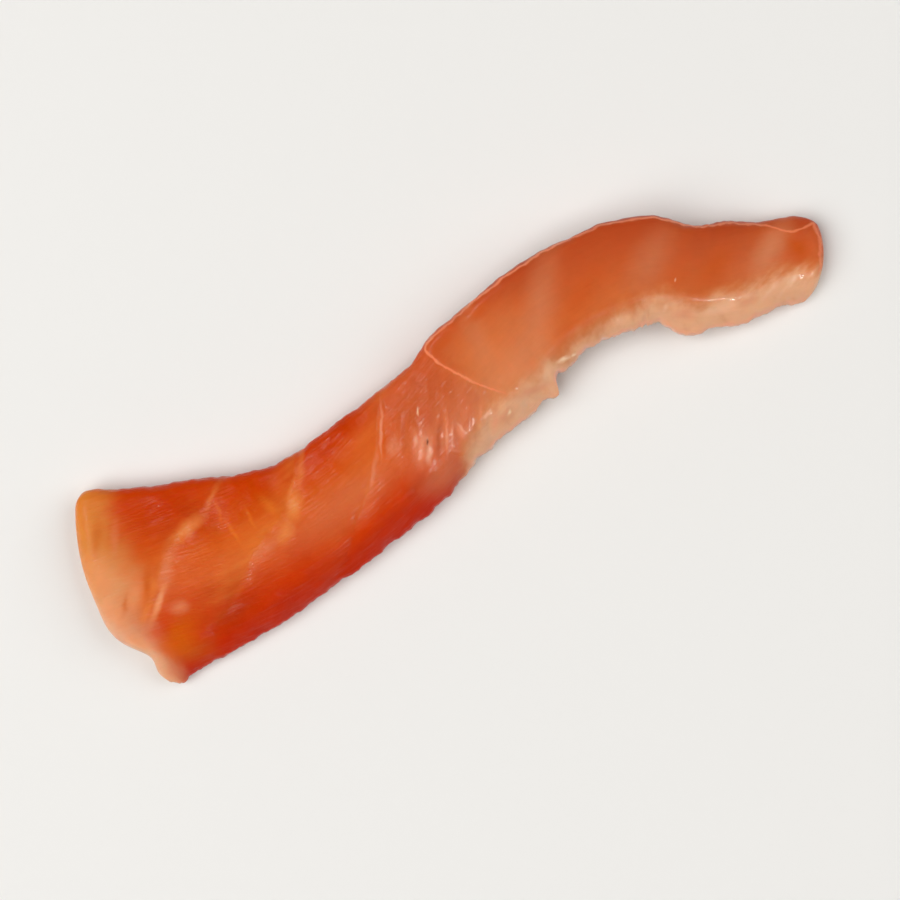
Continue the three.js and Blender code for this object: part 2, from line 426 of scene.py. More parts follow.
# for each place the nearest membrane: the distance to it, below 0 on its left, and its values
def nearestMembrane(along, across, down):
    nearest = {"distance": np.full(len(along), 1000.0)}
    nearest.update({key: np.zeros(len(along)) for key in ("half", "pale", "fan")})
    reach = face["membraneReach"]
    step = 0.5  # mm across, over which a line's steepness is read
    for i, membrane in enumerate(face["membranes"]):
        line = throughValues(membrane["at"], (across + reach) / (2 * reach))
        lineAbove = throughValues(membrane["at"], (across + reach + step) / (2 * reach))
        steepness = (lineAbove - line) / step
        wander = face["wander"] * ripple(across, face["wanderWave"], face["wanderShift"] * i)
        place = along - line - face["sink"] * down + wander
        distance = place / np.sqrt(1 + steepness**2)
        closer = np.abs(distance) < np.abs(nearest["distance"])
        nearest["distance"] = np.where(closer, distance, nearest["distance"])
        pale = throughValues(membrane["pale"], (across + reach) / (2 * reach))
        values = dict(membrane, pale=pale)
        for key in ("half", "pale", "fan"):
            nearest[key] = np.where(closer, values[key], nearest[key])
    return nearest


# the fibres that fan out of a membrane, to its left and a little to its right
def fanShare(nearest, places):
    distance = nearest["distance"] + face["fanWaver"] * grainAt(places, face["fanGrain"], 7)
    left = smoothStep(distance, *face["fanFrom"]) ** face["fanPower"]
    return nearest["fan"] * left * (1 - smoothStep(distance, *face["fanTo"]))


def fleshRelief(distance):
    block = face["pillow"] * (1 - bump(distance, face["pillowHalf"]))
    groove = face["grooveDepth"] * bump(distance, face["grooveHalf"])
    seam = face["seamDepth"] * bump(distance, face["seamHalf"])
    return block - groove - seam


# the folds of the bend, and on them the thin ridges and the one small pit
def creaseRelief(along, across, x, y):
    window = bump(along - creases["middle"], creases["half"])
    window = window * bump(across - creases["across"], creases["acrossHalf"])
    turn = 2 * math.pi * x / creases["pitch"] + ripple(across, **creases["wander"])
    folds = creases["depth"] * np.cos(turn)
    fineTurn = 2 * math.pi * x / creases["finePitch"] + waveSum([creases["fineWander"]], y)
    patches = creases["finePatches"]
    share = 1 - patches["reach"] + waveSum([patches], y + x)
    fineFolds = creases["fineDepth"] * np.cos(fineTurn) * share
    ridges = np.zeros(len(x))
    bowed = waveSum(creases["ridgeBow"], y)
    for place, top, bottom, height in creases["ridges"]:
        tip = creases["ridgeTip"]
        lasting = smoothStep(top - y, -tip, tip) * smoothStep(y - bottom, -tip, tip)
        ridges = ridges + height * lasting * bump(x - place - bowed, creases["ridgeHalf"])
    pit = creases["pit"]
    hollow = pit["depth"] * bump(x - pit["x"], pit["half"]) * bump(y - pit["y"], pit["halfY"])
    return window, window * (folds + fineFolds) + ridges - hollow


# Moves the straight slab's points to the strip's uneven form and bends it along the
# middle line, as with the sculpting brushes. Keeps what the colours need as attributes.
def sculptStrip(piece, spine, length):
    points = readPoints(piece) / mm
    along = points[:, 0].copy()
    share = np.clip(along / length, 0, 1)
    width = stationValue("width", share)
    thick = stationValue("thick", share)
    side = points[:, 1] / (width / 2)
    up = np.clip(points[:, 2] / thick, 0, 1)
    down = (1 - up) * thick

    # the outline
    flesh = fleshRelief(nearestMembrane(along, points[:, 1], down)["distance"])
    uneven = np.where(side < 0, fatEdge(along), upperEdge(along))
    places = np.stack([along, points[:, 1], outline["grainSink"] * down], axis=1)
    tearShare = mixed(outline["tearLeft"], 1, smoothStep(along, *outline["tearFrom"]))
    torn = outline["tear"] * tearShare * grainAt(places, outline["tearGrain"], 1)
    cut = outline["cutWaver"] * grainAt(places, outline["cutGrain"], 2)
    ragged = np.where(side < 0, torn, cut)
    fringe = outline["fleshShare"] * flesh + ragged
    stand = uneven * side ** outline["nubPower"] + fringe * side ** outline["raggedPower"]
    across = points[:, 1] + np.sign(side) * stand
    push = endPush(outline["narrowEnd"], side, length - along)
    push = push - endPush(outline["wideEnd"], side, along) + foldDepth(along, across)

    # the height of the cut face
    slopeStart = width / 2 - face["slopeWidth"]
    slope = smoothStep(-across, slopeStart, width / 2 + face["slopeOver"])
    pressed = pressedDepth(along, across, width, length)
    keep = mixed(1, face["pressedKeep"], smoothStep(pressed, *face["pressedFade"]))
    membrane = nearestMembrane(along, across, 0)["distance"]
    crown = mixed(face["crownLeft"], face["crownRight"], share) * (1 - np.minimum(side**2, 1))
    swell = face["swellWave"]
    leaning = along + swell["lean"] * across
    soft = crown + face["swell"] * ripple(leaning, swell["wave"], swell["phase"])
    fine = fleshRelief(membrane) * (1 - face["slopeSmooths"] * slope)
    mound = face["moundHeight"] * grainAt(places, face["moundGrain"], 3, 3)
    lumps = face["fatLump"] * grainAt(places, face["fatLumpGrain"], 6)
    beads = face["fatBead"] * grainAt(places, face["fatBeadGrain"], 4)
    underside = stationValue("rise", share) + stationValue("roll", share) * across
    top = underside + thick * (1 - face["slopeDrop"] * slope) + keep * (soft + fine + mound)
    top = top + slope * (lumps + beads)
    top = top + face["pressedStep"] * smoothStep(pressed, *face["pressedRim"])
    foot = np.maximum(0, underside)

    # laid along the middle line
    points[:, 0] = along + push
    points[:, 1] = across
    points[:, 2] = mixed(foot, top, up)
    writePoints(piece, points * mm)
    deselectAll()
    piece.select_set(True)
    bpy.context.view_layer.objects.active = piece
    bend = piece.modifiers.new("alongSpine", "CURVE")
    bend.object = spine
    bend.deform_axis = "POS_X"
    bpy.ops.object.modifier_apply(modifier=bend.name)

    # the creases of the bend stand upright in the view, so they come after it
    points = readPoints(piece) / mm
    loose = 1 - creases["fieldPress"] * smoothStep(pressed, *creases["fieldFade"])
    creased, folds = creaseRelief(along, across, points[:, 0], points[:, 1])
    points[:, 2] = np.maximum(points[:, 2] + up * loose * folds, 0)
    writePoints(piece, points * mm)

    keepAttribute(piece, "bentPlace", points)
    keepAttribute(piece, "stripPlace", np.stack([along, across, down], axis=1))
    keepAttribute(piece, "side", side)
    nearest = nearestMembrane(along, across, down)
    keepAttribute(piece, "membraneDistance", np.abs(nearest["distance"]))
    keepAttribute(piece, "membraneHalf", nearest["half"])
    keepAttribute(piece, "membranePale", nearest["pale"])
    keepAttribute(piece, "fan", fanShare(nearest, places))
    fatWidth = np.interp(along, *zip(*face["fatWidths"]))
    fromFatEdge = width / 2 + fatEdge(along) + across
    keepAttribute(piece, "insideFat", fatWidth - fromFatEdge)
    keepAttribute(piece, "fromFatEdge", fromFatEdge)
    keepAttribute(piece, "pressed", pressed)
    keepAttribute(piece, "creased", creased * loose)


def keepAttribute(piece, name, values):
    kind = "FLOAT_VECTOR" if values.ndim == 2 else "FLOAT"
    kept = piece.data.attributes.new(name, kind, "POINT")
    kept.data.foreach_set("vector" if values.ndim == 2 else "value", values.ravel())


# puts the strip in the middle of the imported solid's box, standing on the table
def settle(piece):
    low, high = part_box("salmon_strip")
    points = readPoints(piece)
    middle = (points.min(axis=0) + points.max(axis=0)) / 2
    points[:, 0] += (low[0] + high[0]) / 2 - middle[0]
    points[:, 1] += (low[1] + high[1]) / 2 - middle[1]
    points[:, 2] += low[2] - points[:, 2].min()
    writePoints(piece, points)


# Colours are display values from 0 to 255. Each list of tones runs across the strip, from
# its lower edge at -1 to its upper edge at 1, and holds from its place along the strip on.
flesh = {
    "endTones": [
        (-1.0, (222, 156, 112)),
        (-0.5, (226, 164, 124)),
        (0.0, (222, 152, 100)),
        (0.5, (218, 136, 66)),
        (1.0, (218, 126, 46)),
    ],
    # In the left tones the darker reds towards the lower edge are partly the flesh's colour and
    # partly painted shade where that edge slopes down, and the pinker middle is partly painted
    # sheen on the crest.
    "leftTones": [
        (-1.0, (192, 36, 0)),
        (-0.75, (196, 46, 0)),
        (-0.55, (200, 58, 4)),
        (-0.3, (204, 76, 24)),
        (-0.05, (212, 94, 38)),
        (0.2, (212, 92, 26)),
        (0.45, (206, 78, 6)),
        (0.7, (202, 66, 0)),
        (1.0, (196, 58, 0)),
    ],
    "bendTones": [
        # the darker red at the lower edge is partly painted shade where that edge slopes down
        (-1.0, (186, 62, 26)),
        (-0.75, (208, 106, 68)),
        (-0.5, (212, 118, 80)),
        (-0.3, (212, 118, 78)),
        (0.0, (207, 108, 65)),
        (0.3, (200, 94, 49)),
        (1.0, (202, 86, 38)),
    ],
    # In the field and right tones the darkening towards the upper edge, at 1, is painted shade.
    "fieldTones": [
        (-0.3, (216, 129, 82)),
        (0.0, (213, 121, 72)),
        (0.3, (212, 114, 62)),
        (0.6, (206, 104, 52)),
        (1.0, (194, 78, 32)),
    ],
    "rightTones": [
        (-0.3, (207, 104, 50)),
        (0.0, (204, 97, 46)),
        (0.3, (199, 89, 41)),
        (0.6, (192, 82, 37)),
        (0.85, (184, 74, 32)),
        (1.0, (176, 66, 27)),
    ],
    "leftFrom": (0.8, 5.0),
    "bendFrom": (31.5, 38.0),
    "fieldFrom": (42.0, 46.0),
    "rightFrom": (48.0, 57.0),
    # broad dabs by their place along and across: half length, half width, turn and strength
    "dabs": [
        {
            "colour": (192, 54, 0),
            "strokes": [
                (8.5, 6.0, 5.0, 3.6, 0, 0.9),
                (29.5, 5.4, 4.6, 2.0, 0, 0.5),
                (22.0, 6.0, 3.0, 2.0, 0, 0.5),
            ],
        },
        # pinkish dabs, partly the flesh's tone and partly painted sheen on the crest of the left
        # half
        {
            "colour": (212, 112, 70),
            "strokes": [
                (26.5, -0.6, 8.0, 2.2, 4, 0.5),
                (77.5, 0.6, 5.5, 2.8, 0, 0.4),
                (36.5, -4.6, 4.0, 2.0, 0, 0.5),
            ],
        },
        {"colour": (222, 108, 46), "strokes": [(31.5, 3.4, 4.0, 1.6, 0, 0.5)]},
        {"colour": (206, 98, 22), "strokes": [(5.0, -7.6, 3.2, 1.8, 0, 0.7)]},
        # a dark red dab by the lower edge, partly painted shade where that edge slopes down
        {"colour": (182, 50, 8), "strokes": [(11.8, -4.8, 3.6, 1.7, 0, 0.65)]},
        {"colour": (188, 68, 10), "strokes": [(12.0, -2.9, 3.4, 1.3, 0, 0.55)]},
    ],
    # soft strokes by x and y: half length, half width, turn in degrees, and strength
    "strokes": [
        {
            "colour": (210, 128, 86),
            "strokes": [
                (3.3, 11.6, 4.2, 1.4, -69, 0.4),
                (9.7, 15.4, 6.4, 1.9, 82, 0.6),
                (33.9, 21.4, 3.9, 1.5, 57, 0.95),
            ],
        },
        {"colour": (201, 114, 74), "strokes": [(21.1, 19.8, 4.2, 2.1, 63, 0.75)]},
        {
            "colour": (200, 84, 22),
            "strokes": [
                (13.9, 16.0, 4.4, 1.4, 60, 0.45),
                (27.9, 19.4, 3.4, 1.6, 50, 0.7),
                (36.9, 21.6, 2.0, 1.2, -60, 0.9),
                (-0.4, 11.4, 1.5, 0.5, 45, 0.6),
                (3.2, 14.6, 1.5, 0.6, 35, 0.6),
                (24.2, 18.2, 2.4, 1.2, 20, 0.3),
            ],
        },
        {
            "colour": (204, 90, 6),
            "strokes": [
                (-28.0, -18.8, 2.8, 1.5, 50, 0.85),
                (-31.3, -13.6, 2.2, 0.4, 88, 0.6),
                (-36.5, -8.8, 2.2, 0.6, 85, 0.45),
                (-33.6, -15.8, 1.4, 0.4, 75, 0.5),
            ],
        },
        {
            "colour": (222, 128, 84),
            "strokes": [
                (-29.3, -12.2, 2.4, 0.9, 80, 0.6),
                (-34.7, -9.0, 2.2, 0.5, 88, 0.45),
                (-27.9, -16.0, 1.2, 0.8, 10, 0.8),
                (-18.9, -10.0, 2.2, 0.7, 45, 0.4),
            ],
        },
        {
            "colour": (230, 150, 98),
            "strokes": [
                (-30.1, -15.6, 2.2, 0.42, 68, 0.9),
                (-32.5, -15.0, 2.0, 0.7, 80, 0.6),
                (-36.2, -13.0, 3.0, 1.8, -62, 0.65),
                (-34.4, -17.0, 2.2, 0.9, -55, 0.65),
                (-32.4, -19.4, 1.8, 0.6, -42, 0.6),
            ],
        },
        {
            "colour": (230, 138, 68),
            "strokes": [
                (-27.2, -7.9, 2.4, 0.85, 41, 0.75),
                (-24.6, -4.7, 2.2, 0.38, 65, 0.35),
                (-15.9, -5.4, 1.9, 0.95, 80, 0.85),
                (-16.7, -8.0, 1.6, 0.85, 70, 0.7),
                (-15.2, -1.2, 3.0, 0.42, 90, 0.35),
            ],
        },
        {
            "colour": (226, 116, 36),
            "strokes": [
                (-18.3, -5.6, 1.6, 0.6, -45, 0.7),
                (-20.3, -7.0, 1.5, 0.32, -63, 0.6),
                (-22.2, -8.3, 1.7, 0.28, -62, 0.65),
                (-23.7, -6.2, 1.4, 0.28, -72, 0.4),
                (-19.6, -8.6, 3.0, 1.5, 20, 0.3),
            ],
        },
        # dark strokes in the valleys between the crease ridges: painted shade
        {
            "colour": (176, 72, 34),
            "strokes": [
                (-0.7, 1.8, 2.6, 0.3, 90, 0.5),
                (-4.4, 2.0, 2.2, 0.3, 88, 0.25),
            ],
        },
        {"colour": (204, 92, 62), "strokes": [(-2.1, 3.6, 1.5, 0.9, 90, 0.4)]},
        # deepest red strokes along the lower edge: painted shade where that edge slopes down
        {
            "colour": (162, 48, 8),
            "strokes": [
                (-22.4, -17.0, 2.8, 1.2, 35, 0.45),
                (-3.0, -3.2, 1.8, 0.9, 40, 0.35),
            ],
        },
        # pale strokes along the crease ridges: painted highlights on their wet tops
        {
            "colour": (232, 146, 110),
            "strokes": [
                (-6.8, 2.6, 3.0, 0.2, 90, 0.75),
                (-7.5, -1.6, 2.0, 0.25, 80, 0.4),
                (-5.5, 0.8, 1.0, 0.7, 90, 0.5),
                (-2.5, 0.8, 2.0, 1.1, 85, 0.8),
                (0.1, 2.0, 2.2, 0.16, 92, 0.8),
                (0.65, 1.9, 1.4, 0.15, 90, 0.8),
                (0.8, 0.4, 0.8, 0.16, 0, 0.4),
                (1.5, 2.2, 1.0, 0.3, -50, 0.6),
                (3.7, 4.0, 1.3, 0.17, 90, 0.4),
                (5.1, 3.4, 1.2, 0.5, 80, 0.4),
            ],
        },
        # whitish blotches at the bend: painted highlights
        {
            "colour": (244, 188, 156),
            "strokes": [
                (-1.7, 0.0, 1.1, 0.35, 90, 0.6),
                (-3.2, 1.4, 0.7, 0.25, 80, 0.5),
                (1.6, 2.6, 0.7, 0.2, -50, 0.5),
            ],
        },
        # the dark pit: painted shade in the hollow
        {"colour": (112, 52, 30), "strokes": [(-1.9, 1.2, 0.4, 0.12, 90, 0.95)]},
        # near-white dots and dashes: painted glints of moisture, one of them on the fat
        {
            "colour": (253, 218, 180),
            "strokes": [
                (-2.9, 4.4, 0.5, 0.11, 85, 0.6),
                (6.6, 4.4, 0.36, 0.17, 70, 0.8),
                (12.2, 9.9, 0.75, 0.26, 20, 0.95),
                (13.2, 10.3, 0.4, 0.16, 30, 0.8),
                (23.8, 18.1, 0.2, 0.12, 80, 0.5),
            ],
        },
    ],
    # pale, pink and tan patches and whitish streaks on the fat, likewise
    "fatStrokes": [
        {
            "colour": (214, 142, 96),
            "strokes": [
                (22.6, 15.6, 1.4, 0.7, -20, 0.6),
                (29.0, 16.6, 2.2, 0.6, 5, 0.45),
                (8.2, 7.6, 1.6, 0.8, 50, 0.4),
                (19.0, 15.6, 1.0, 0.5, 40, 0.5),
            ],
        },
        {
            "colour": (218, 140, 104),
            "strokes": [
                (25.0, 14.6, 1.8, 0.8, 10, 0.6),
                (9.0, 6.6, 2.4, 0.5, 22, 0.6),
                (31.6, 15.9, 1.6, 0.4, 20, 0.5),
                (6.2, 4.0, 1.6, 0.8, 45, 0.5),
            ],
        },
        {
            "colour": (238, 188, 152),
            "strokes": [
                (18.0, 14.1, 0.9, 0.5, 25, 0.85),
                (20.3, 15.9, 0.9, 0.5, 30, 0.6),
                (28.2, 15.1, 2.4, 0.5, 10, 0.6),
                (34.2, 17.6, 2.2, 0.35, 50, 0.6),
                (36.6, 18.9, 1.9, 0.28, 62, 0.8),
                (35.6, 17.5, 1.6, 0.22, 55, 0.4),
                (37.8, 19.4, 1.4, 0.24, 68, 0.7),
                (22.8, 15.3, 0.5, 0.3, 60, 0.6),
                (10.0, 8.2, 1.2, 0.7, 40, 0.5),
            ],
        },
    ],
    "strokeSpread": 1.45,  # where a stroke has faded out, in half lengths and half widths
    "strokeFlatness": 10000,  # so long through the thickness that depth counts for nothing
    "membrane": (238, 146, 66),
    # painted glow of light through the thin edge of the wide end
    "rimGlowPeach": (224, 170, 136),
    "fatCream": (230, 172, 132),
    "fatTan": (214, 138, 88),
    "fatPink": (214, 142, 106),
    # painted highlight along the rounded outer edge of the fat
    "fatEdgeShine": (240, 164, 132),
    # the moist line round the flat field: a painted highlight
    "moistShineLine": (240, 142, 98),
    "roughness": 0.36,
    "wetRoughness": 0.16,
    "specular": 0.16,
    "subsurface": 0.5,
    "subsurfaceReach": (1.8, 0.6, 0.3),
    "coat": 0.6,  # at the creases and on the fat
    "dryCoat": 0.08,
    "coatRoughness": 0.08,
    "coatDensity": 1.33,  # a film of water and oil
    "reliefDepth": 0.00022,
    "reliefStrength": 0.4,
    # how far the broad and the medium unevenness move the tones, across and along
    "tonesAcross": (0.1, 0.05),
    "tonesAlong": (1.4, 0.8),
    "dabWaver": {"size": 6.0, "reach": 2.4},
    "strokeWaver": {"size": 1.6, "reach": 0.7},
    # and how far it moves the edges of what lies over them
    "membraneRagged": 0.12,
    "rimGlowRagged": 0.5,
    "fatRagged": (0.6, 0.25),
    "fatEdgeShineRagged": 0.12,
    "unevenTone": (0.05, 0.03, 0.025),  # medium, small and threads
}

# The noises, in millimetres: how wide their bumps are, and how far they are drawn out.
noises = {
    "broad": {"size": 8.0},
    "medium": {"size": 2.6, "detail": 3.0},
    "small": {"size": 0.9, "detail": 3.0},
    "fibres": {"size": 0.9, "detail": 3.0, "stretch": (7, 1, 1), "turn": 6.0},
    "threads": {"size": 0.28, "stretch": (9, 1, 1), "turn": 3.0},
    "drawnOut": {"size": 0.7, "detail": 3.0, "stretch": (4, 1, 1), "turn": 38.0},
    "fatMottle": {"size": 1.2, "detail": 4.0, "stretch": (1, 1.6, 1), "turn": 20.0},
    "upright": {"size": 0.4 * mm, "stretch": (1, 7, 3)},  # on places in metres
}

# Where each thing shows: it goes from the first value to the second, and if two more are
# given, from the third amount to the fourth, or else from none to all.
ranges = {
    "membraneCore": (1.3, 0.1, 0.0, 0.7),
    "membraneGlow": (3.2, 0.0, 0.0, 0.5),
    "membraneBreaks": (-0.6, 0.6, 0.25, 1.25),
    "fanFibres": (-0.9, 1.0, 0.05, 0.7),
    "palePatches": (-1.0, 0.6, 0.7, 1.0),
    "paleAcross": (-0.7, -0.1, 0.15, 1.0),
    "rimGlowDepth": (2.6, -0.4, 0.0, 0.9),
    "rimGlowAcross": (0.15, -0.45),
    "fatDrawnOut": (66.0, 80.0, 0.25, 0.7),
    "tan": (-1.4, 0.5, 0.0, 0.8),
    "cream": (-0.3, 1.5),
    "pink": (0.0, 1.0, 0.0, 0.55),
    "fatEdge": (0.6, 0.15),
    "fatEdgeShineBreaks": (-0.6, 0.8, 0.3, 0.9),
    "moistShineLine": (0.2, 0.03, 0.0, 0.85),
    "moistShineLineBreaks": (-1.0, 0.8, 0.55, 1.0),
    "moistShineLineDepth": (1.4, 0.9),
    "moistShineLineAcross": (-0.6, -0.25),
    "wet": (0.2, 1.4),
    "coated": (0.0, 0.75),
    "calm": (-0.2, 0.6, 1.0, 0.3),
}

# How much each of these counts for wetness, for the coat, and in the fine relief.
mixes = {
    "wetCreases": 1.4,
    "wetPatches": 0.5,
    "coatOnFat": 0.5,
    "coatPatches": 0.12,
    "fibreRelief": 0.35,
    "smallRelief": 0.3,
    "threadRelief": 0.25,
    "creaseRelief": 0.3,
}


def linearColour(colour):
    parts = [c / 255 for c in colour]
    return [p / 12.92 if p <= 0.04045 else ((p + 0.055) / 1.055) ** 2.4 for p in parts] + [1.0]


# small helpers that add one node each and join it to what it reads
def clearNodes(material):
    material.use_nodes = True
    material.node_tree.nodes.clear()
    return material.node_tree


def addNode(tree, kind, **settings):
    node = tree.nodes.new(kind)
    for name, value in settings.items():
        setattr(node, name, value)
    return node


def feed(tree, socket, value):
    if hasattr(value, "is_output"):
        tree.links.new(value, socket)
    else:
        socket.default_value = value


def maths(tree, operation, *values):
    node = addNode(tree, "ShaderNodeMath", operation=operation)
    for socket, value in zip(node.inputs, values):
        feed(tree, socket, value)
    return node.outputs[0]


# adds noises to a value, each as much as its share
def roughened(tree, value, *parts):
    for part, share in parts:
        value = maths(tree, "MULTIPLY_ADD", part, share, value)
    return value


# low to high as value goes from start to end, eased at both ends
def ease(tree, value, start, end, low=0.0, high=1.0):
    node = addNode(tree, "ShaderNodeMapRange", interpolation_type="SMOOTHSTEP")
    for socket, entry in zip(node.inputs, (value, start, end, low, high)):
        feed(tree, socket, entry)
    return node.outputs[0]


def blendColour(tree, share, first, second):
    node = addNode(tree, "ShaderNodeMix", data_type="RGBA")
    feed(tree, node.inputs[0], share)
    feed(tree, node.inputs[6], first)
    feed(tree, node.inputs[7], second)
    return node.outputs[2]


def readAttribute(tree, name, output="Fac"):
    return addNode(tree, "ShaderNodeAttribute", attribute_name=name).outputs[output]


# noise of about -1 to 1, its bumps as wide as the size and drawn out by the stretch
def grain(tree, places, size, detail=2.0, stretch=(1, 1, 1), turn=0.0):
    mapping = addNode(tree, "ShaderNodeMapping", vector_type="TEXTURE")
    mapping.inputs["Scale"].default_value = [size * s for s in stretch]
    mapping.inputs["Rotation"].default_value = (0, 0, math.radians(turn))
    feed(tree, mapping.inputs["Vector"], places)
    node = addNode(tree, "ShaderNodeTexNoise")
    node.inputs["Scale"].default_value = 1
    node.inputs["Detail"].default_value = detail
    feed(tree, node.inputs["Vector"], mapping.outputs[0])
    return maths(tree, "MULTIPLY", maths(tree, "SUBTRACT", node.outputs["Fac"], 0.5), 3.0)


# the colours of a list of tones, at a place from -1 to 1 across the strip
def tones(tree, side, stops):
    node = addNode(tree, "ShaderNodeValToRGB")
    marks = node.color_ramp.elements
    while len(marks) < len(stops):
        marks.new(0.5)
    for mark, (stop, colour) in zip(marks, stops):
        mark.position = (stop + 1) / 2
        mark.color = linearColour(colour)
    feed(tree, node.inputs[0], maths(tree, "MULTIPLY_ADD", side, 0.5, 0.5))
    return node.outputs[0]


# lays soft oval strokes of colour over the others, one group of them for each colour
def paintStrokes(tree, colour, places, groups):
    for group in groups:
        shown = 0.0
        for x, y, long, wide, turn, share in group["strokes"]:
            spread = flesh["strokeSpread"]
            reach = (long * spread, wide * spread, flesh["strokeFlatness"])
            oval = addNode(tree, "ShaderNodeMapping", vector_type="TEXTURE")
            oval.inputs["Location"].default_value = (x, y, 0)
            oval.inputs["Rotation"].default_value = (0, 0, math.radians(turn))
            oval.inputs["Scale"].default_value = reach
            feed(tree, oval.inputs["Vector"], places)
            fade = addNode(tree, "ShaderNodeTexGradient", gradient_type="SPHERICAL")
            feed(tree, fade.inputs["Vector"], oval.outputs[0])
            stroke = ease(tree, fade.outputs["Fac"], 0.0, 1.0, 0.0, share)
            shown = maths(tree, "MAXIMUM", stroke, shown)
        colour = blendColour(tree, shown, colour, linearColour(group["colour"]))
    return colour


# moves places about a little, so that what is drawn at them wavers
def waver(tree, places, size, reach):
    scaled = addNode(tree, "ShaderNodeTexNoise")
    scaled.inputs["Scale"].default_value = 1 / size
    scaled.inputs["Detail"].default_value = 2.0
    feed(tree, scaled.inputs["Vector"], places)
    moved = addNode(tree, "ShaderNodeVectorMath", operation="MULTIPLY_ADD")
    feed(tree, moved.inputs[0], scaled.outputs["Color"])
    moved.inputs[1].default_value = (reach, reach, 0)
    feed(tree, moved.inputs[2], places)
    centred = addNode(tree, "ShaderNodeVectorMath", operation="SUBTRACT")
    feed(tree, centred.inputs[0], moved.outputs[0])
    centred.inputs[1].default_value = (reach / 2, reach / 2, 0)
    return centred.outputs[0]


